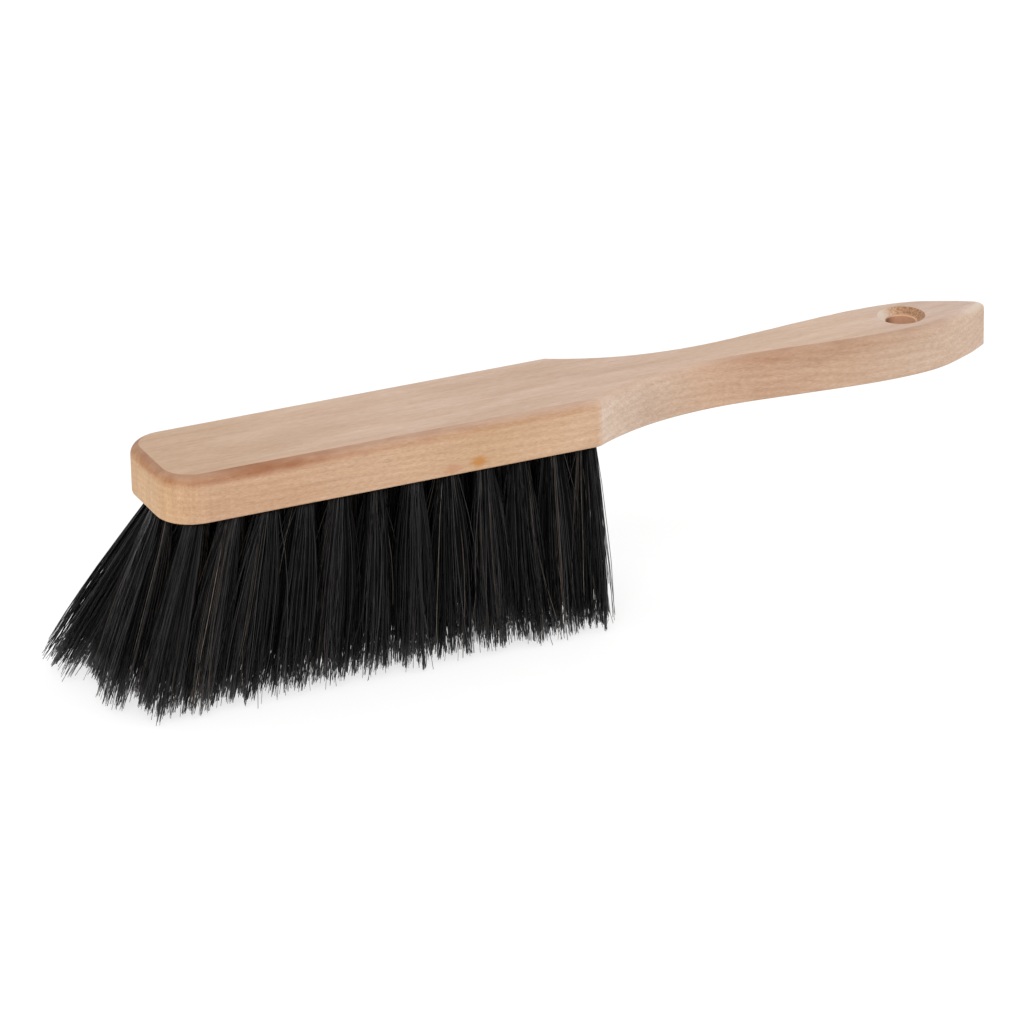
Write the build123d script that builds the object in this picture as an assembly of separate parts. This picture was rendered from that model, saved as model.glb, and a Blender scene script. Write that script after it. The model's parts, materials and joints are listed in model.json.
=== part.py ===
from build123d import *
import os
from math import cos, radians, sin, sqrt, tan

# ---------------------------------------------------------------------------
# Bee brush: a one-piece beech board (brush head and handle) with four rows of
# long horsehair tufts.  Each tuft is a bundle folded over a flat wire anchor
# and driven into a blind hole.  Millimetres, +X towards the handle, +Z up.
# The origin lies on the plane of the bristle tips, at the middle of the
# overall length and on the centreline.
# ---------------------------------------------------------------------------

# Board
BOARD_T = 16.0          # thickness, the same in the head and the handle
HEAD_L = 147.0          # front end to the shoulders
HEAD_W = 43.0
TOTAL_L = 296.5         # front end to the tip of the handle
CORNER_R = 12.2         # the head's front corners, in plan
SHOULDER_R = 4.0        # softened shoulder corners, in plan
ROUND_R = 3.8           # milled round-over that runs round the whole top edge
ROUND_IN = 2.8          # it meets the flat top this far in, at a crease
UNDER_ROUND = 0.7       # sanded lower edge

# Half widths of the handle at distances from the head's front end:
# the sweep in from the shoulder, the neck, the swell and the nose.
HANDLE_HALF = [
    (155.0, 17.3), (167.0, 12.8), (183.0, 9.7), (198.0, 9.1), (215.0, 10.5),
    (232.0, 12.3), (251.0, 13.8), (266.0, 13.4), (277.0, 11.1), (286.6, 6.6),
]
SWEEP_IN = (1.0, -0.62)  # direction in which the handle's edge leaves the shoulder
NOSE_PAST = 0.5         # the handle's sides would meet this far past its blunted point
NOSE_TURN = 36.0        # degrees between each side and the centreline there

# Hanging hole near the end of the handle
HANG_X = 265.9          # from the head's front end
HANG_R = 4.8
FLARE_R = 8.0           # countersink at both of its rims
FLARE_DEPTH = 2.2

# Tufts
HAIR_L = 58.0           # underside of the head to the trimmed tips
TUFT_COUNT = (12, 12, 12, 11)           # in each row
ROW_Y = (-16.0, -5.4, 5.4, 16.0)
ROW_START = (11.4, 5.4, 11.4, 18.0)     # first tuft of each row, from the front end
ROW_END = (144.0, 144.0, 144.0, 138.0)  # last tuft of each row; row 4 stands between row 1's
HOLE_R = 3.1
HOLE_DEPTH = 9.0
DRILL_POINT = 1.2       # conical bottom left by the drill
TUFT_R = 3.0            # packed bundle inside the hole
FOLD_R = 1.6            # rounded fold at the bottom of the hole
TIP_R = 5.2             # the bundle opens out to this at its tips
ROOT_GAP = 0.3          # bottom of the fold to the end of the straight wall
FRONT_LEAN = (22.0, 22.0, 26.0, 39.85)  # degrees forward in each row, at the front end
LEAN_FADE = 118.0       # distance over which the forward lean dies out
LEAN_POWER = 1.3        # it dies out faster at first
SIDE_LEAN = 6.6         # degrees outward in the outer rows

# Flat wire anchors
ANCHOR_W = 8.0          # long side, across the grain
ANCHOR_H = 1.6
ANCHOR_T = 0.4
ANCHOR_DEPTH = 6.9      # mouth of the hole to the middle of the anchor
SLIT_GAP = 0.02         # room round the anchor where it bites into the wood
FOLD_GAP = 0.06         # room round the anchor inside the fold

# Where the head's front end sits, so that the origin is mid-length
FRONT_X = -134.53
UNDERSIDE_Z = HAIR_L
TOP_Z = HAIR_L + BOARD_T


def head_and_handle_outline():
    """Plan outline of the whole board, on the plane of its underside."""
    half = HEAD_W / 2
    with BuildSketch(Plane.XY.offset(UNDERSIDE_Z)) as sketch:
        with BuildLine():
            Line((0, 0), (0, half - CORNER_R))
            RadiusArc((0, half - CORNER_R), (CORNER_R, half), CORNER_R)
            Line((CORNER_R, half), (HEAD_L, half))
            nose = (TOTAL_L + NOSE_PAST, 0)
            run_out = (cos(radians(NOSE_TURN)), -sin(radians(NOSE_TURN)))
            Spline([(HEAD_L, half)] + HANDLE_HALF + [nose], tangents=[SWEEP_IN, run_out])
            mirror(about=Plane.XZ)
        make_face()
    return sketch.sketch


def tuft_axis(row, index):
    """Mouth of a tuft's hole and the direction in which its hair runs."""
    pitch = (ROW_END[row] - ROW_START[row]) / (TUFT_COUNT[row] - 1)
    x = ROW_START[row] + pitch * index
    y = ROW_Y[row]
    fade = max(0.0, 1.0 - x / LEAN_FADE)
    forward = tan(radians(FRONT_LEAN[row])) * fade ** LEAN_POWER
    outward = tan(radians(SIDE_LEAN)) * y / abs(ROW_Y[0])
    mouth = Vector(FRONT_X + x, y, UNDERSIDE_Z)
    return mouth, Vector(-forward, outward, -1.0).normalized()


def hole_plane(row, index, depth=0.0):
    """Plane across a hole at a depth, its Z towards the mouth, its Y across the board."""
    mouth, run = tuft_axis(row, index)
    across = run.cross(Vector(0, 1, 0)).normalized()
    return Plane(origin=mouth - run * depth, x_dir=across, z_dir=run)


def tuft_hole(row, index):
    """Cutter for one blind hole with the slit that its anchor cuts on the way in."""
    past = 3.0
    bottom = hole_plane(row, index, HOLE_DEPTH)
    bore = Solid.make_cylinder(HOLE_R, HOLE_DEPTH + past, bottom)
    point = Solid.make_cone(HOLE_R, 0.05, DRILL_POINT, Plane(bottom.origin, bottom.x_dir, -bottom.z_dir))
    slit_len = ANCHOR_DEPTH + ANCHOR_H / 2 + SLIT_GAP + past
    slit_mid = hole_plane(row, index, slit_len / 2 - past)
    slit = slit_mid * Box(ANCHOR_T + 2 * SLIT_GAP, ANCHOR_W + 2 * SLIT_GAP, slit_len)
    return [bore, point, slit]


def hanging_hole():
    """Cutter for the hole in the handle: a bore with a countersink at each end."""
    middle_z = UNDERSIDE_Z + BOARD_T / 2
    bore = Pos(HANG_X, 0, middle_z) * Cylinder(HANG_R, BOARD_T + 2)
    upper = Pos(HANG_X, 0, TOP_Z - FLARE_DEPTH / 2) * Cone(HANG_R, FLARE_R, FLARE_DEPTH)
    lower = Pos(HANG_X, 0, UNDERSIDE_Z + FLARE_DEPTH / 2) * Cone(FLARE_R, HANG_R, FLARE_DEPTH)
    return bore + upper + lower


def bare_board():
    """Head and handle without holes; the round-over's arc is cut off where it meets the flat top."""
    arc_end = ROUND_R - sqrt(ROUND_R ** 2 - (ROUND_R - ROUND_IN) ** 2)
    block = extrude(head_and_handle_outline(), BOARD_T + arc_end, dir=(0, 0, 1))
    shoulders = block.edges().filter_by(Axis.Z).sort_by(Axis.Y)
    shoulders = [e for e in shoulders if abs(e.center().X - HEAD_L) < 0.5]
    block = fillet(shoulders, SHOULDER_R)
    block = fillet(block.faces().sort_by(Axis.Z)[-1].edges(), ROUND_R)
    block = fillet(block.faces().sort_by(Axis.Z)[0].edges(), UNDER_ROUND)
    block = split(block, bisect_by=Plane.XY.offset(TOP_Z), keep=Keep.BOTTOM)
    return split(block, bisect_by=Plane.YZ.offset(TOTAL_L), keep=Keep.BOTTOM)


def wooden_body():
    """Head and handle in one piece of beech, with the tuft holes and the hanging hole."""
    board = Pos(FRONT_X, 0, 0) * (bare_board() - hanging_hole())
    cutters = []
    for row in range(len(ROW_Y)):
        for index in range(TUFT_COUNT[row]):
            cutters += tuft_hole(row, index)
    return board.cut(*cutters)


def anchor(row, index):
    """Flat wire that pins one tuft down in its hole."""
    return hole_plane(row, index, ANCHOR_DEPTH) * Box(ANCHOR_T, ANCHOR_W, ANCHOR_H)


def tuft(row, index):
    """One bundle of hair: the fold in its hole and the free length that opens out."""
    mouth, run = tuft_axis(row, index)
    root_len = HOLE_DEPTH - ROOT_GAP
    foot = Solid.make_cylinder(TUFT_R, root_len, hole_plane(row, index, root_len))
    foot = foot.fillet(FOLD_R, [foot.edges().filter_by(GeomType.CIRCLE).sort_by(Axis.Z)[-1]])
    free_len = HAIR_L / abs(run.Z)
    rough_len = free_len + 8.0      # carried on past the tips, then trimmed level
    rough_r = TUFT_R + (TIP_R - TUFT_R) * rough_len / free_len
    free = Solid.make_cone(TUFT_R, rough_r, rough_len, hole_plane(row, index))
    below_tips = Pos(mouth.X, mouth.Y, -25.0) * Box(200, 100, 50)
    fold = hole_plane(row, index, ANCHOR_DEPTH) * Box(
        ANCHOR_T + 2 * FOLD_GAP, 3 * TUFT_R, ANCHOR_H + 2 * FOLD_GAP
    )
    return (foot + free).cut(below_tips, fold)


def write(name, shape):
    export_step(shape, os.path.join("parts", name + ".step"))


os.makedirs("parts", exist_ok=True)
write("wooden_body", wooden_body())
for row in range(len(ROW_Y)):
    row_name = "row_" + str(row + 1)
    pins = [anchor(row, i) for i in range(TUFT_COUNT[row])]
    write("anchors_" + row_name, Compound(children=pins))
    for i in range(TUFT_COUNT[row]):
        write("tuft_" + row_name + "_%02d" % (i + 1), tuft(row, i))
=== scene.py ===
import json
import math

import bpy
import numpy as np
from mathutils import Matrix, Vector


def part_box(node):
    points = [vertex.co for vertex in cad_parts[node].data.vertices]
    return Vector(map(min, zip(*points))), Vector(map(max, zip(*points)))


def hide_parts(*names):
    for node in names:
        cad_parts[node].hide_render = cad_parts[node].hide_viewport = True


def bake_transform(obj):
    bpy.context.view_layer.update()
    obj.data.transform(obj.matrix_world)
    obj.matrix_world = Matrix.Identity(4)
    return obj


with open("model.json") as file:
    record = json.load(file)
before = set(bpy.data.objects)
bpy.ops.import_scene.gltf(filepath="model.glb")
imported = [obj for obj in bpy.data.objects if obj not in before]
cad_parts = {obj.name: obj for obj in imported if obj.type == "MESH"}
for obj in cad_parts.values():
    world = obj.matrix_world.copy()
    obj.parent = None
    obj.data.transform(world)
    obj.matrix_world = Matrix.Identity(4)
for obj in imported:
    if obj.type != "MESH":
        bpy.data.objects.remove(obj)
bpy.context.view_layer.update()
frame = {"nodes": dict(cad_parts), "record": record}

MM = 0.001

# ----------------------------------------------------------------- dimensions

board_lo, board_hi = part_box("wooden_body")
front_x = board_lo.x
under_z = board_lo.z
top_z = board_hi.z
half_w = board_hi.y
board_l = board_hi.x - board_lo.x
mounts = {mount["name"]: mount for mount in frame["record"]["mounts"]}
hole_at = Vector(mounts["hanging_hole"]["pos_m"])

# ------------------------------------------------------------------ node help


class Nodes:
    """A material's node tree, with short calls for what the materials below share."""

    def __init__(self, name):
        self.mat = bpy.data.materials.new(name)
        self.mat.use_nodes = True
        self.tree = self.mat.node_tree
        self.tree.nodes.clear()
        self.bsdf = self.add("ShaderNodeBsdfPrincipled")
        out = self.add("ShaderNodeOutputMaterial")
        self.link(self.bsdf.outputs[0], out.inputs["Surface"])

    def add(self, kind, **settings):
        node = self.tree.nodes.new(kind)
        for key, value in settings.items():
            setattr(node, key, value)
        return node

    def link(self, a, b):
        self.tree.links.new(a, b)

    def put(self, value, socket):
        """Links a socket, or sets a number or a colour."""
        if isinstance(value, (int, float, tuple)):
            if isinstance(value, tuple) and len(value) == 3 and socket.type == "RGBA":
                value = value + (1.0,)
            socket.default_value = value
        else:
            self.link(value, socket)

    def surface(self, **inputs):
        """Feeds the surface: input names with _ for a space, and a socket, number or colour."""
        for name, value in inputs.items():
            self.put(value, self.bsdf.inputs[name.replace("_", " ")])

    def place(self):
        """Position on the object, in metres, in the CAD frame."""
        return self.add("ShaderNodeTexCoord").outputs["Object"]

    def split(self, vector):
        node = self.add("ShaderNodeSeparateXYZ")
        self.put(vector, node.inputs[0])
        return node.outputs

    def noise(self, vector, cells, shift=(0, 0, 0), detail=2.0, rough=0.5, distort=0.0):
        """Noise with so many cells per metre along x, y and z."""
        placed = self.add("ShaderNodeMapping")
        self.put(vector, placed.inputs["Vector"])
        placed.inputs["Scale"].default_value = cells
        placed.inputs["Location"].default_value = shift
        node = self.add("ShaderNodeTexNoise")
        self.put(placed.outputs[0], node.inputs["Vector"])
        for name, number in (
            ("Scale", 1.0), ("Detail", detail), ("Roughness", rough), ("Distortion", distort),
        ):
            node.inputs[name].default_value = number
        return node.outputs["Fac"]

    def ramp(self, value, lo, hi, a=0.0, b=1.0, smooth=True):
        """Runs from a to b as the value runs from lo to hi."""
        node = self.add("ShaderNodeMapRange")
        node.interpolation_type = "SMOOTHSTEP" if smooth else "LINEAR"
        self.put(value, node.inputs["Value"])
        for name, number in (("From Min", lo), ("From Max", hi), ("To Min", a), ("To Max", b)):
            node.inputs[name].default_value = number
        return node.outputs["Result"]

    def colours(self, value, stops):
        """Colour ramp; stops are (position from 0 to 1, colour)."""
        node = self.add("ShaderNodeValToRGB")
        elements = node.color_ramp.elements
        while len(elements) < len(stops):
            elements.new(0.5)
        for element, (position, colour) in zip(elements, stops):
            element.position = position
            element.color = colour + (1.0,)
        self.put(value, node.inputs["Fac"])
        return node.outputs["Color"]

    def math(self, op, a, b=0.0):
        node = self.add("ShaderNodeMath", operation=op)
        self.put(a, node.inputs[0])
        self.put(b, node.inputs[1])
        return node.outputs[0]

    def times(self, a, *others):
        for b in others:
            a = self.math("MULTIPLY", a, b)
        return a

    def length(self, a, b):
        """Length of the vector whose two parts are given."""
        return self.math("SQRT", self.math("ADD", self.times(a, a), self.times(b, b)))

    def mix(self, factor, a, b, blend="MIX"):
        node = self.add("ShaderNodeMix", data_type="RGBA", blend_type=blend)
        self.put(factor, node.inputs["Factor"])
        self.put(a, node.inputs[6])
        self.put(b, node.inputs[7])
        return node.outputs[2]

    def tint(self, colour, value, lo, hi, dark, light):
        """Multiplies a colour by a tint, from dark to light as value runs from lo to hi."""
        shade = self.mix(self.ramp(value, lo, hi, smooth=False), dark, light)
        return self.mix(1.0, colour, shade, "MULTIPLY")

    def bump(self, height, strength, distance):
        node = self.add("ShaderNodeBump")
        node.inputs["Strength"].default_value = strength
        node.inputs["Distance"].default_value = distance
        self.put(height, node.inputs["Height"])
        return node.outputs[0]


def use_material(obj, mat):
    obj.data.materials.clear()
    obj.data.materials.append(mat)


def link_object(name, data):
    obj = bpy.data.objects.new(name, data)
    bpy.context.collection.objects.link(obj)
    return obj


# ---------------------------------------------------------------------- beech
# In these lists the first number is the distance from the board's front end, in mm.

TOP_TONES = [
    (0, (0.490, 0.337, 0.231)), (40, (0.495, 0.345, 0.245)), (80, (0.518, 0.373, 0.282)),
    (167, (0.518, 0.377, 0.290)), (240, (0.546, 0.400, 0.300)), (290, (0.510, 0.383, 0.318)),
]
SIDE_TONES = [
    (1, (0.597, 0.381, 0.215)), (13, (0.514, 0.324, 0.207)), (40, (0.517, 0.326, 0.208)),
    (70, (0.549, 0.365, 0.240)), (108, (0.512, 0.331, 0.201)), (139, (0.539, 0.358, 0.233)),
    (146.4, (0.528, 0.350, 0.228)), (148.2, (0.575, 0.450, 0.360)), (167, (0.488, 0.358, 0.272)),
    (190, (0.512, 0.345, 0.242)), (211, (0.492, 0.317, 0.215)), (240, (0.496, 0.334, 0.233)),
    (262, (0.526, 0.379, 0.282)), (290, (0.543, 0.403, 0.307)),
]
BROWNED = [         # how far the round-over is browned
    (0, 0.74), (14, 0.76), (28, 0.95), (44, 0.88), (64, 0.55), (95, 0.42), (140, 0.32),
    (147, 0.08), (185, 0.10), (215, 0.30), (262, 0.26), (280, 0.05),
]
GRIP = [(185, 0.0), (208, 1.0), (262, 1.0), (280, 0.0)]     # where the handle is held
SANDED = [          # how far the sanding drum's marks show
    (144, 0.0), (149, 1.0), (170, 0.9), (200, 0.25), (230, 0.10),
]
BROWN = (0.60, 0.39, 0.28)      # multiplies the wood's own colour on the round-over
FLECK = (0.30, 0.17, 0.10)
PALE_POINT = (0.66, 0.57, 0.48)

# knots: mm from the front end, mm up from the underside, length, height, colour, strength
KNOTS = [
    (104.5, 3.2, 3.9, 2.7, (0.46, 0.205, 0.055), 0.95),
    (95.5, 2.2, 4.4, 2.0, (0.46, 0.225, 0.125), 0.7),
]
RING_PITCH = 2.1 * MM           # growth rings, round a pith that runs at a slant below the board
PITH_DEPTH = 75 * MM
PITH_SIDE = (10 * MM, -30 * MM)  # how far to one side the pith is, at the front end and the nose
DRUM_TURNS = (38, -47)          # degrees; the drum's scratches cross each other


class Beech(Nodes):
    """Bare sanded beech: long soft grain, short mottled dashes, a browner milled edge."""

    def __init__(self):
        super().__init__("beech")
        self.at = self.place()
        self.x, self.y, self.z = self.split(self.at)
        self.normal_z = self.split(self.add("ShaderNodeNewGeometry").outputs["Normal"])[2]
        self.upright = self.ramp(self.math("ABSOLUTE", self.normal_z), 0.75, 0.35)
        self.dash = self.noise(self.at, (250, 1500, 1500), rough=0.55, distort=0.35)
        self.fibre = self.noise(self.at, (420, 4200, 4200), rough=0.6)
        self.pores = self.noise(self.at, (1500, 1500, 700), rough=0.6)

        # on the handle the side's look starts right at the crease of the round-over
        self.handle_side = self.times(self.level_along(GRIP), self.below_top(0.005, 0.15))
        flat_share = self.ramp(self.handle_side, 0.0, 1.0, 1.0, 0.45, smooth=False)
        self.facing_up = self.times(self.ramp(self.normal_z, 0.35, 0.92), flat_share)

        colour = self.mix(self.facing_up, self.tone_along(SIDE_TONES), self.tone_along(TOP_TONES))
        colour = self.grain(colour)
        colour = self.edges(colour)
        colour = self.knots(colour)
        colour = self.tool_marks(colour)
        colour, in_hole = self.hanging_hole(colour)
        height = self.math("ADD", self.times(self.fibre, 0.5), self.times(self.dash, 0.5))
        height = self.math("ADD", height, self.times(self.pores, in_hole, 3.0))
        self.surface(
            Base_Color=colour,
            Roughness=self.ramp(self.dash, 0.3, 0.7, 0.64, 0.52),
            Specular_IOR_Level=0.30,
            Normal=self.bump(height, 0.35, 0.06 * MM),
        )

    def tone_along(self, stops):
        """Colour that changes along the board."""
        share = self.ramp(self.x, front_x, front_x + board_l, smooth=False)
        return self.colours(share, [(at * MM / board_l, colour) for at, colour in stops])

    def level_along(self, stops):
        """Number that changes along the board."""
        return self.tone_along([(at, (level,) * 3) for at, level in stops])

    def from_front(self, lo, hi):
        """Runs from 0 to 1 between two distances from the front end, in mm."""
        return self.ramp(self.x, front_x + lo * MM, front_x + hi * MM)

    def below_top(self, lo, hi):
        """Runs from 0 to 1 between two depths below the top face, in mm."""
        return self.ramp(self.z, top_z - lo * MM, top_z - hi * MM)

    def grain(self, colour):
        """Broad drift, growth rings, streaks, short dashes, single fibres and dark flecks."""
        drift = self.noise(self.at, (11, 70, 70), detail=3.0, rough=0.55)
        colour = self.tint(colour, drift, 0.35, 0.65, (0.95, 0.93, 0.91), (1.04, 1.05, 1.06))

        down = self.math("SUBTRACT", self.z, top_z - PITH_DEPTH)
        aside = self.ramp(self.x, front_x, front_x + board_l, *PITH_SIDE, smooth=False)
        radius = self.length(down, self.math("ADD", self.y, aside))
        sway = self.noise(self.at, (14, 30, 30), (2, 0, 0))
        turns = self.math("ADD", self.times(radius, 1 / RING_PITCH), self.times(sway, 4.0))
        ring = self.math("PINGPONG", self.math("FRACT", turns), 0.5)
        colour = self.tint(colour, ring, 0.0, 0.45, (0.955, 0.935, 0.92), (1.015, 1.02, 1.025))

        streak = self.noise(self.at, (26, 520, 520), (5, 1, 0), detail=3.0, rough=0.6, distort=0.3)
        colour = self.tint(colour, streak, 0.34, 0.66, (0.95, 0.93, 0.91), (1.04, 1.05, 1.055))
        fine_dash = self.noise(self.at, (620, 2100, 2100), (3, 0, 1), rough=0.6, distort=0.3)
        side = self.tint(colour, fine_dash, 0.30, 0.70, (0.925, 0.892, 0.863), (1.10, 1.125, 1.15))
        top = self.tint(colour, self.dash, 0.30, 0.70, (0.97, 0.955, 0.945), (1.035, 1.04, 1.05))
        colour = self.mix(self.facing_up, side, top)
        colour = self.tint(colour, self.fibre, 0.30, 0.70, (0.94, 0.925, 0.91), (1.05, 1.055, 1.06))

        fleck = self.noise(self.at, (330, 2300, 2300), (1, 4, 2), detail=1.0, rough=0.4)
        strength = self.ramp(self.facing_up, 0.0, 1.0, 0.30, 0.10)
        return self.mix(self.times(self.ramp(fleck, 0.66, 0.74), strength), colour, FLECK)

    def edges(self, colour):
        """The browned round-over, browner upper sides of the handle and a paler point."""
        blotch = self.ramp(self.noise(self.at, (90, 190, 190)), 0.30, 0.70, 0.70, 1.12)
        band = self.times(self.below_top(0.005, 0.08), self.below_top(4.6, 1.8))
        band = self.times(band, self.level_along(BROWNED), blotch)
        colour = self.mix(band, colour, self.mix(1.0, colour, BROWN, "MULTIPLY"))

        upper = self.times(self.below_top(8.5, 2.5), self.handle_side)
        colour = self.mix(upper, colour, self.mix(1.0, colour, (0.90, 0.865, 0.835), "MULTIPLY"))

        turned_out = self.ramp(self.normal_z, 0.97, 0.75, 0.0, 0.55)
        point = self.times(self.from_front(282, 292), self.below_top(3.5, 1.0), turned_out)
        return self.mix(point, colour, PALE_POINT)

    def knots(self, colour):
        """Small knots low on the near side of the head."""
        near_side = self.ramp(self.y, -half_w + 5 * MM, -half_w + 1 * MM)
        ragged = self.times(self.math("SUBTRACT", self.dash, 0.5), 0.9)
        for from_front, up, long, high, tone, strength in KNOTS:
            dx = self.math("SUBTRACT", self.x, front_x + from_front * MM)
            dz = self.math("SUBTRACT", self.z, under_z + up * MM)
            away = self.length(self.times(dx, 1 / (long * MM)), self.times(dz, 1 / (high * MM)))
            spot = self.ramp(self.math("ADD", away, ragged), 1.0, 0.25, 0.0, strength)
            colour = self.mix(self.times(spot, near_side), colour, tone)
        return colour

    def tool_marks(self, colour):
        """Drum sanding marks at the neck, and upright chatter marks round the front corners."""
        at_neck = self.times(self.level_along(SANDED), self.upright)
        for turn in DRUM_TURNS:
            turned = self.add("ShaderNodeMapping")
            self.link(self.at, turned.inputs["Vector"])
            turned.inputs["Rotation"].default_value = (0, math.radians(turn), 0)
            scratch = self.noise(turned.outputs[0], (70, 70, 1700), rough=0.6, distort=0.5)
            dark, light = (0.97, 0.965, 0.96), (1.035, 1.04, 1.045)
            marked = self.tint(colour, scratch, 0.32, 0.68, dark, light)
            colour = self.mix(at_neck, colour, marked)

        chatter = self.noise(self.at, (1100, 1100, 22), detail=1.0)
        marked = self.tint(colour, chatter, 0.35, 0.65, (0.96, 0.95, 0.94), (1.035, 1.04, 1.05))
        return self.mix(self.times(self.upright, self.from_front(26, 12)), colour, marked)

    def hanging_hole(self, colour):
        """Rough end grain in the hole, with painted light and shade: the countersink is painted
        pale as a highlight on its side away from the nose, the bore is painted darker on that side
        as shade, and the wall darkens towards the nose, partly painted shade and partly browned by
        the drill.

        The countersink is 8 mm in radius where it meets the board's faces, and the bore 4.8 mm.
        """
        across = self.math("SUBTRACT", self.x, hole_at.x)
        reach = self.length(across, self.y)
        in_hole = self.times(self.ramp(reach, 8.15 * MM, 7.9 * MM), self.below_top(0.01, 0.12))
        in_bore = self.ramp(reach, 5.6 * MM, 4.9 * MM)
        rim = self.mix(self.ramp(self.pores, 0.35, 0.65), (0.34, 0.185, 0.095), (0.56, 0.35, 0.21))
        # towards the nose the countersink's wall is darker: partly painted shade inside the hole,
        # partly end grain browned by the drill
        shaded = self.mix(1.0, rim, (0.74, 0.66, 0.60), "MULTIPLY")
        rim = self.mix(self.ramp(across, 0.0, 5 * MM), rim, shaded)
        # painted shade: the bore is painted darkest on its side away from the nose, where the
        # inside of the hole lies in shade
        bore = self.mix(self.ramp(across, -4 * MM, 1 * MM), (0.22, 0.10, 0.055), (0.62, 0.36, 0.23))
        wall = self.mix(in_bore, rim, bore)
        # painted highlight: away from the nose the countersink's wall is painted pale, where its
        # slope catches the light; in the bore and towards the nose it keeps its darker colour
        browned = self.math("MAXIMUM", self.ramp(across, -5 * MM, 1.5 * MM), in_bore)
        wall = self.mix(browned, (0.60, 0.49, 0.39), wall)
        return self.mix(in_hole, colour, wall), in_hole


# ------------------------------------------------------------ other materials


def steel_wire():
    """Drawn flat wire: fine lines over a mid grey metal."""
    n = Nodes("anchor_wire")
    lines = n.noise(n.place(), (6000, 250, 6000))
    n.surface(
        Base_Color=n.mix(lines, (0.42, 0.42, 0.43), (0.66, 0.66, 0.67)),
        Metallic=1.0,
        Roughness=n.ramp(lines, 0.2, 0.8, 0.25, 0.48),
    )
    return n.mat


HAIR_TONES = [
    (0.00, (0.0010, 0.0010, 0.0012)),
    (0.35, (0.0038, 0.0036, 0.0040)),
    (0.62, (0.0115, 0.0108, 0.0118)),
    (0.84, (0.036, 0.032, 0.034)),
    (0.94, (0.064, 0.046, 0.037)),
    (0.98, (0.13, 0.085, 0.055)),
    (1.00, (0.34, 0.29, 0.24)),
]


def horsehair():
    """Dark hair: each strand has its own tone, from black to a few brown and grey ones, and its
    colour is darker in dashes along it, so that the lighter stretches between are painted glints.
    """
    n = Nodes("horsehair")
    tone = n.add("ShaderNodeAttribute", attribute_name="tone").outputs["Fac"]
    along = n.noise(n.place(), (1400, 1400, 190))
    # painted glints: the colour darkens in dashes along each strand, so the stretches between show
    # lighter as glints; the roughness follows the same noise
    darker = n.ramp(along, 0.35, 0.65, 0.0, 0.75)
    n.surface(
        Base_Color=n.mix(darker, n.colours(tone, HAIR_TONES), (0.35, 0.35, 0.35), "MULTIPLY"),
        Roughness=n.ramp(along, 0.3, 0.7, 0.30, 0.48),
        Specular_IOR_Level=n.ramp(tone, 0.1, 0.85, 0.10, 0.62),
    )
    return n.mat


def paper():
    """Pale floor that glows a little, so that it comes out white."""
    n = Nodes("paper")
    grey = n.noise(n.place(), (30, 30, 30))
    n.surface(
        Base_Color=n.mix(grey, (0.30, 0.30, 0.30), (0.32, 0.32, 0.32)),
        Roughness=0.9,
        Specular_IOR_Level=0.0,
        Emission_Color=(1.0, 1.0, 1.0),
        Emission_Strength=0.71,
    )
    return n.mat


# ----------------------------------------------------------------------- hair

HAIRS = 330             # strands in a tuft that stands straight
STEPS = 8               # rings along a strand
SIDES = 3
HAIR_R = 0.125 * MM
THICKNESS = (0.75, 1.2)                     # least and most, times HAIR_R
TAPER = ((0, 0.8, 1.0), (1.0, 0.98, 0.75))  # shares of a hair's length, and its thickness there
ROOT_R = 2.85 * MM      # packed bundle at the mouth of its hole
TIP_R = 7.0 * MM        # spread at the trimmed tips of a tuft that stands straight
LEAN_ADDS = 0.5         # share of hairs that a lean of 45 degrees would add
LEAN_SPREADS = 0.55     # share of spread that it would add
INSIDE = 4.0 * MM       # hair that starts this far up inside its hole
LOCKS = 15              # in a tuft: broad groups of neighbours that draw together
WISPS = 60              # finer groups, which close up at their tips and share a tone
LOWEST = -3.0 * MM      # no hair hangs below this

# Where tips are across a tuft, where 1 is its radius
LOCK_POWER = 0.45       # locks stand a little closer to the rim than an even spread would
LOCK_PULL = (0.10, 0.60)
WISP_PULL = (0.45, 1.0)
JITTER = 0.12
STRAYS, STRAY_REACH, STRAY_MAX = 0.05, 0.5, 0.8     # share of hairs, and how far they go
CROSSERS, CROSS_MAX = 0.030, 1.7                    # these cross the others, along the board
FRONT_REACH, FRONT_MAX = 0.86, 0.95                 # a row's first tuft spreads less forward
BACK_REACH, BACK_MAX = 0.46, 1.8                    # and its last tuft less backward
SIDE_MAX = 1.35

# Where hairs stop, in mm above the plane of the tips
TRIM = -0.4
LOCK_UNEVEN, WISP_UNEVEN, HAIR_UNEVEN = 0.8, 1.1, 0.5
FRONT_RISE, FRONT_RISE_FROM = 13.0, 0.25    # first tufts stop higher towards the front, from here
SHORT_SHARE, SHORT_MAX = 0.22, 12           # share of hairs that stop short, and by how much
SHORT_SHARE_FRONT, SHORT_MAX_FRONT = 0.38, 24       # the same in first tufts
HIGHEST = 28

# How hairs run, where 0 is the mouth of the hole and 1 the trimmed tips
EARLY_INNER, EARLY_OUTER = 0.45, 0.20       # share of the spread that comes early
EARLY_OVER = 0.11                           # scale of the stretch in which it comes
FRONT_POWER = 1.1                           # foremost hairs open out more evenly
DOWN_MAX = 1.15                             # hair that runs past the tips spreads no further
GATHER_FROM, GATHER_OVER, GATHER_POWER = 0.78, 0.22, 1.5    # wisps close up from here on
LOCK_BOW, HAIR_BOW, BOW_MAX = 0.75, 0.8, 2  # mm
STRAY_BOW, END_TUFT_BOW = 1.8, 0.5          # times the others' bow
WAVE = 0.34                                 # mm
WAVE_TURNS = (6, 11)                        # radians over the free length

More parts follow.
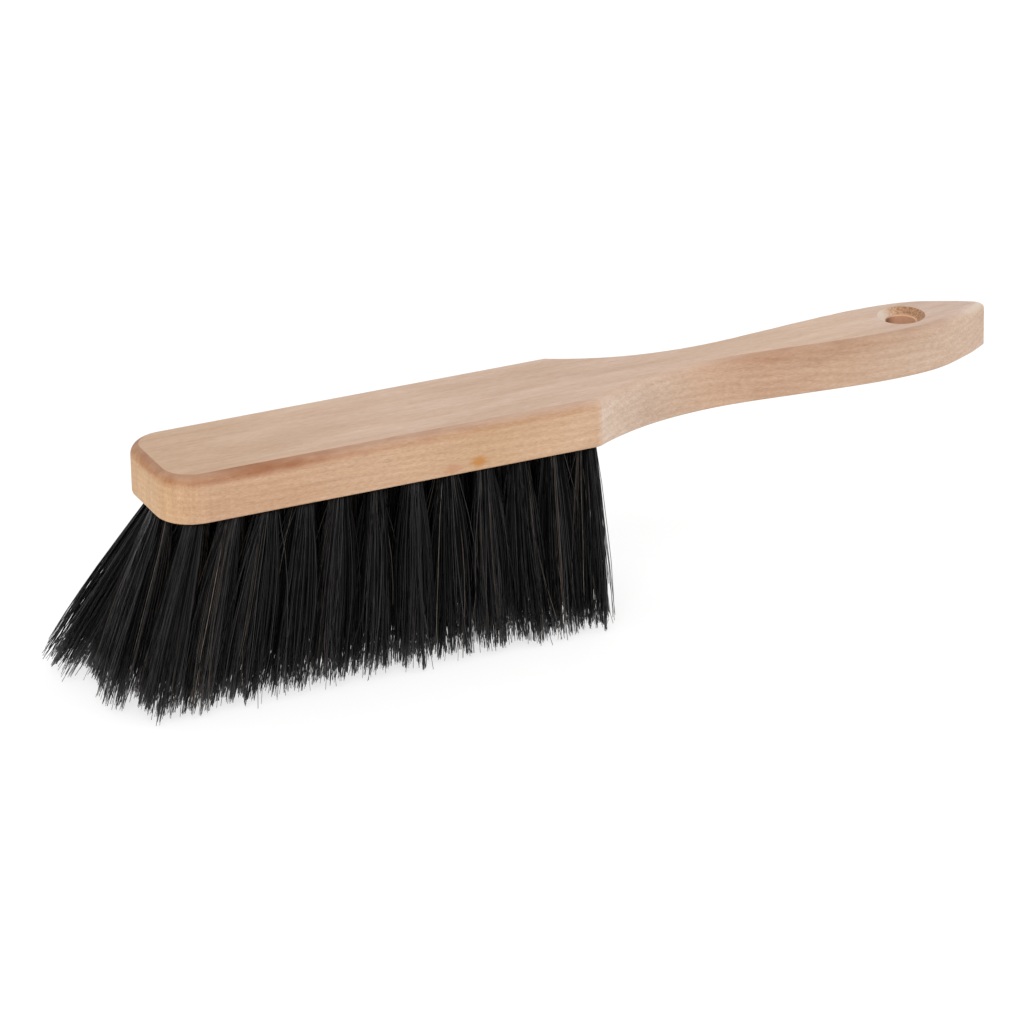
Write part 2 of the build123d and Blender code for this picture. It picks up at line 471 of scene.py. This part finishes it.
# Tones, from 0 for black to 1 for the palest hair
LOCK_TONE, WISP_TONE, HAIR_TONE = 0.27, 0.40, 0.33      # shares of each in a hair's tone
CONTRAST, MEAN_TONE, TONE_MAX = 1.55, 0.47, 0.955
PALE_SHARE = 0.006                          # of the locks, and of the hairs
PALE_LOCK_TONE, PALE_HAIR_TONE = 2.0, 0.99  # the first goes into the shares above
CROSSER_TONES = (0.45, 0.97)


def tuft_line(node):
    """Centre of a tuft at the mouth of its hole and at its trimmed tips, from the CAD solid."""
    co = np.array([v.co for v in frame["nodes"][node].data.vertices])
    tips = co[co[:, 2] < 0.05 * MM]
    foot = co[co[:, 2] > co[:, 2].max() - 0.2 * MM]
    tip = (tips.min(0) + tips.max(0)) / 2
    top = (foot.min(0) + foot.max(0)) / 2
    mouth = top + (tip - top) * (top[2] - under_z) / (top[2] - tip[2])
    return mouth, tip


def in_disc(rng, count, power=0.5):
    """Random places in a disc of radius 1, spread evenly unless the power says otherwise."""
    turn = rng.uniform(0, 2 * np.pi, count)
    reach = rng.uniform(0, 1, count) ** power
    return np.stack([np.cos(turn) * reach, np.sin(turn) * reach], 1)


def nearest(places, centres):
    """Number of the centre that is nearest to each place."""
    return np.argmin(((places[:, None] - centres[None]) ** 2).sum(2), 1)


class Tuft:
    """The strands of one tuft; its calls draw from rng in the order in which strands() makes them.

    u points towards the handle and v to the near side, both across the tuft.
    """

    def __init__(self, node, first, last, rng):
        self.mouth, self.tip = tuft_line(node)
        self.first, self.last, self.rng = first, last, rng
        run = self.tip - self.mouth
        self.length = np.linalg.norm(run)
        self.run = run / self.length
        self.u = np.cross(self.run, (0.0, 1.0, 0.0))
        self.u /= np.linalg.norm(self.u)
        self.v = np.cross(self.run, self.u)
        lean = abs(self.run[0] / self.run[2])
        self.count = int(HAIRS * (1 + LEAN_ADDS * lean))
        self.spread = TIP_R * (1 + LEAN_SPREADS * lean)

    def strands(self):
        """Centre lines (hair, step, xyz), radii (hair, step) and tones (hair)."""
        self.place_ends()
        self.close_wisps()
        self.set_lengths()
        steps = np.linspace(0, 1, STEPS)[None, :]
        line = self.centre_lines(steps)
        thickness = HAIR_R * self.rng.uniform(*THICKNESS, self.count)[:, None]
        return line, thickness * np.interp(steps, *TAPER), self.tones()

    def place_ends(self):
        """Roots, and tips that draw together in locks; a few hairs stray or cross the others."""
        rng, n = self.rng, self.count
        self.root = in_disc(rng, n)
        centres = in_disc(rng, LOCKS, LOCK_POWER)
        self.lock = nearest(self.root, centres)
        pull = rng.uniform(*LOCK_PULL, n)[:, None]
        end = self.root * (1 - pull) + centres[self.lock] * pull + rng.normal(0, JITTER, (n, 2))
        self.stray = rng.uniform(0, 1, n) < STRAYS
        astray = rng.normal(0, STRAY_REACH, (self.stray.sum(), 2))
        end[self.stray] += np.clip(astray, -STRAY_MAX, STRAY_MAX)
        self.crossing = rng.uniform(0, 1, n) < CROSSERS
        end[self.crossing, 0] += rng.uniform(-CROSS_MAX, CROSS_MAX, self.crossing.sum())
        if self.first:
            forward = FRONT_REACH * np.clip(end[:, 0], -FRONT_MAX, 0)
            end[:, 0] = np.where(end[:, 0] < 0, forward, end[:, 0])
        if self.last:
            backward = BACK_REACH * np.clip(end[:, 0], 0, BACK_MAX)
            end[:, 0] = np.where(end[:, 0] > 0, backward, end[:, 0])
        end[:, 1] = np.clip(end[:, 1], -SIDE_MAX, SIDE_MAX)
        self.end = end

    def close_wisps(self):
        """The last stretch of each hair closes on the few hairs beside it."""
        self.wisp = nearest(self.root, in_disc(self.rng, WISPS))
        middle = np.stack([np.bincount(self.wisp, self.end[:, i], WISPS) for i in (0, 1)], 1)
        middle /= np.maximum(np.bincount(self.wisp, minlength=WISPS), 1)[:, None]
        pull = self.rng.uniform(*WISP_PULL, self.count)[:, None]
        self.closing = (middle[self.wisp] - self.end) * pull
        self.closing[self.stray | self.crossing] = 0

    def set_lengths(self):
        """Where each hair stops: most at the trim line, some short, a few long."""
        rng, n = self.rng, self.count
        lock_stop = rng.normal(0, LOCK_UNEVEN, LOCKS)
        wisp_stop = rng.normal(0, WISP_UNEVEN, WISPS)
        stop = TRIM + rng.normal(0, HAIR_UNEVEN, n) + lock_stop[self.lock] + wisp_stop[self.wisp]
        if self.first:
            stop += FRONT_RISE * np.clip(-self.end[:, 0] - FRONT_RISE_FROM, 0, 1)
        short = rng.uniform(0, 1, n) < (SHORT_SHARE_FRONT if self.first else SHORT_SHARE)
        short_by = SHORT_MAX_FRONT if self.first else SHORT_MAX
        stop[short] += rng.uniform(1, short_by, short.sum())
        stop = np.clip(stop, LOWEST / MM, HIGHEST) * MM
        rise = self.spread * (self.end[:, 0] * self.u[2] + self.end[:, 1] * self.v[2])
        self.total = (self.mouth[2] + rise - stop) / abs(self.run[2]) + INSIDE

    def centre_lines(self, steps):
        """Each hair runs along its tuft while it opens out, bows, waves and closes on its wisp."""
        along = steps * self.total[:, None] - INSIDE
        free = along / self.length
        down = np.clip(free, 0, DOWN_MAX)
        start = ROOT_R * self.root
        outward = self.spread * self.end - start
        across = start[:, None, :] + outward[:, None, :] * self.opened(down)
        gather = np.clip((down - GATHER_FROM) / GATHER_OVER, 0, 1) ** GATHER_POWER
        across = across + self.spread * self.closing[:, None, :] * gather[:, :, None]
        across = across + self.bow(np.clip(free, 0, 1))
        across = across + self.wave(down)
        line = self.mouth + along[:, :, None] * self.run
        line = line + across[:, :, :1] * self.u + across[:, :, 1:] * self.v
        line[:, :, 2] = np.maximum(line[:, :, 2], LOWEST)
        return line

    def opened(self, down):
        """How much of the way from root to tip, across the tuft, each hair has gone."""
        early = EARLY_INNER if abs(self.mouth[1]) < half_w / 2 else EARLY_OUTER
        opened = (1 - early) * down + early * (1 - np.exp(-down / EARLY_OVER))
        opened = np.repeat(opened[:, :, None], 2, axis=2)
        if self.first:
            forward = self.end[:, 0] < 0
            opened[forward, :, 0] = down[forward] ** FRONT_POWER
        return opened

    def bow(self, free):
        lock_bow = self.rng.normal(0, LOCK_BOW, (LOCKS, 2))
        bow = lock_bow[self.lock] + self.rng.normal(0, HAIR_BOW, (self.count, 2))
        bow = np.clip(bow, -BOW_MAX, BOW_MAX) * MM
        bow[self.stray] *= STRAY_BOW
        if self.first or self.last:
            bow *= END_TUFT_BOW
        return bow[:, None, :] * np.sin(free * np.pi)[:, :, None]

    def wave(self, down):
        wave = self.rng.normal(0, WAVE, (self.count, 2)) * MM
        turns = self.rng.uniform(*WAVE_TURNS, self.count)[:, None]
        phase = self.rng.uniform(0, 2 * np.pi, self.count)[:, None]
        return wave[:, None, :] * (np.sin(down * turns + phase) * down)[:, :, None]

    def tones(self):
        """Hairs of one lock or wisp have like tones, and a very few are pale."""
        rng, n = self.rng, self.count
        lock_tone = rng.uniform(0, 1, LOCKS)
        lock_tone[rng.uniform(0, 1, LOCKS) < PALE_SHARE] = PALE_LOCK_TONE
        tone = LOCK_TONE * lock_tone[self.lock]
        tone = tone + WISP_TONE * rng.uniform(0, 1, WISPS)[self.wisp]
        tone = tone + HAIR_TONE * rng.uniform(0, 1, n)
        tone = np.clip((tone - 0.5) * CONTRAST + MEAN_TONE, 0, TONE_MAX)
        tone[rng.uniform(0, 1, n) < PALE_SHARE] = PALE_HAIR_TONE
        tone[self.crossing] = rng.uniform(*CROSSER_TONES, self.crossing.sum())
        return tone


def tubes(name, line, radius, tone):
    """One mesh of thin tapered tubes, closed at both ends."""
    n, steps = line.shape[:2]
    ahead = np.gradient(line, axis=1)
    ahead /= np.linalg.norm(ahead, axis=2, keepdims=True)
    side = np.cross(ahead, (0.0, 1.0, 0.0))
    side /= np.linalg.norm(side, axis=2, keepdims=True)
    other = np.cross(ahead, side)
    spin = np.arange(SIDES) * 2 * np.pi / SIDES
    ring = side[:, :, None] * np.cos(spin)[:, None] + other[:, :, None] * np.sin(spin)[:, None]
    co = line[:, :, None] + ring * radius[:, :, None, None]

    base = np.arange(n)[:, None] * steps * SIDES
    corner = np.arange(SIDES)[None]
    lower = base[:, :, None] + np.arange(steps - 1)[None, :, None] * SIDES
    a, b = lower + corner, lower + (corner + 1) % SIDES
    faces = np.stack([a, b, b + SIDES, a + SIDES], 3).reshape(-1, 4).tolist()
    faces += (base + corner[:, ::-1]).tolist()
    faces += (base + (steps - 1) * SIDES + corner).tolist()

    mesh = bpy.data.meshes.new(name)
    mesh.from_pydata(co.reshape(-1, 3).tolist(), [], faces)
    mesh.polygons.foreach_set("use_smooth", [True] * len(mesh.polygons))
    attribute = mesh.attributes.new("tone", "FLOAT", "POINT")
    attribute.data.foreach_set("value", np.repeat(tone, steps * SIDES).astype(np.float32))
    return link_object(name, mesh)


hair_material = horsehair()
behaviour = frame["record"]["behaviour"]
for joint in behaviour["joints"]:
    body = joint["child"]
    row_nodes = behaviour["bodies"][body]
    for number, node in enumerate(row_nodes):
        row = int(node.split("_")[2])
        rng = np.random.default_rng(1000 * row + number)
        tuft = Tuft(node, number == 0, number == len(row_nodes) - 1, rng)
        piece = tubes(node.replace("tuft", "hair"), *tuft.strands())
        use_material(piece, hair_material)
        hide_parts(node)
        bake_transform(piece)

# -------------------------------------------------------------- CAD materials

use_material(frame["nodes"]["wooden_body"], Beech().mat)
wire = steel_wire()
for name, obj in frame["nodes"].items():
    if name.startswith("anchors"):
        use_material(obj, wire)

# ---------------------------------------------------------------------- stage

FLOOR_Z = -3.8 * MM     # under the lowest hair
FLOOR_HALF = 12.0
SKY_LIGHT = 0.95        # strength of the white surroundings as a light
SKY_SEEN = 1.05         # as the camera sees them: white like the floor, so that no horizon shows
LIT_POINT = Vector((0, 0, 0.03))


def lay_floor():
    a, z = FLOOR_HALF, FLOOR_Z
    mesh = bpy.data.meshes.new("floor")
    mesh.from_pydata([(-a, -a, z), (a, -a, z), (a, a, z), (-a, a, z)], [], [(0, 1, 2, 3)])
    floor = link_object("floor", mesh)
    use_material(floor, paper())


def white_surroundings():
    world = bpy.data.worlds.new("studio")
    world.use_nodes = True
    tree = world.node_tree
    background = tree.nodes["Background"]
    background.inputs["Color"].default_value = (1.0, 1.0, 1.0, 1.0)
    strength = tree.nodes.new("ShaderNodeMapRange")
    strength.inputs["To Min"].default_value = SKY_LIGHT
    strength.inputs["To Max"].default_value = SKY_SEEN
    seen = tree.nodes.new("ShaderNodeLightPath").outputs["Is Camera Ray"]
    tree.links.new(seen, strength.inputs["Value"])
    tree.links.new(strength.outputs["Result"], background.inputs["Strength"])
    return world


def softbox(name, at, size, power):
    """Round area light that points at the middle of the hair."""
    data = bpy.data.lights.new(name, "AREA")
    data.shape = "DISK"
    data.size = size
    data.energy = power
    light = link_object(name, data)
    light.location = at
    light.rotation_euler = (LIT_POINT - Vector(at)).to_track_quat("-Z", "Y").to_euler()


lay_floor()
scene = bpy.context.scene
scene.view_settings.view_transform = "Standard"
scene.world = white_surroundings()
softbox("key", (-0.6, -1.0, 1.5), 0.9, 9.0)
softbox("fill", (1.2, -1.2, 0.9), 1.2, 4.0)

# --------------------------------------------------------------------- camera

AZIMUTH, ELEVATION, ROLL = (math.radians(a) for a in (-24.05, 23.32, -1.21))
DISTANCE = 2.003
TARGET = Vector((front_x + 125.5 * MM, 0, under_z - 26.9 * MM))
LENS = 218.8            # mm, with a sensor as wide as this:
SENSOR_W = 36
CLIP_END = 60           # metres


def place_camera():
    flat = math.cos(ELEVATION)
    back = Vector((math.sin(AZIMUTH) * flat, -math.cos(AZIMUTH) * flat, math.sin(ELEVATION)))
    level = Vector((math.cos(AZIMUTH), math.sin(AZIMUTH), 0))
    upward = back.cross(level)
    right = level * math.cos(ROLL) + upward * math.sin(ROLL)
    up = upward * math.cos(ROLL) - level * math.sin(ROLL)
    data = bpy.data.cameras.new("camera")
    data.sensor_width = SENSOR_W
    data.lens = LENS
    data.clip_end = CLIP_END
    camera = link_object("camera", data)
    camera.matrix_world = Matrix((right, up, back)).transposed().to_4x4()
    camera.location = TARGET + back * DISTANCE
    return camera


scene.camera = place_camera()
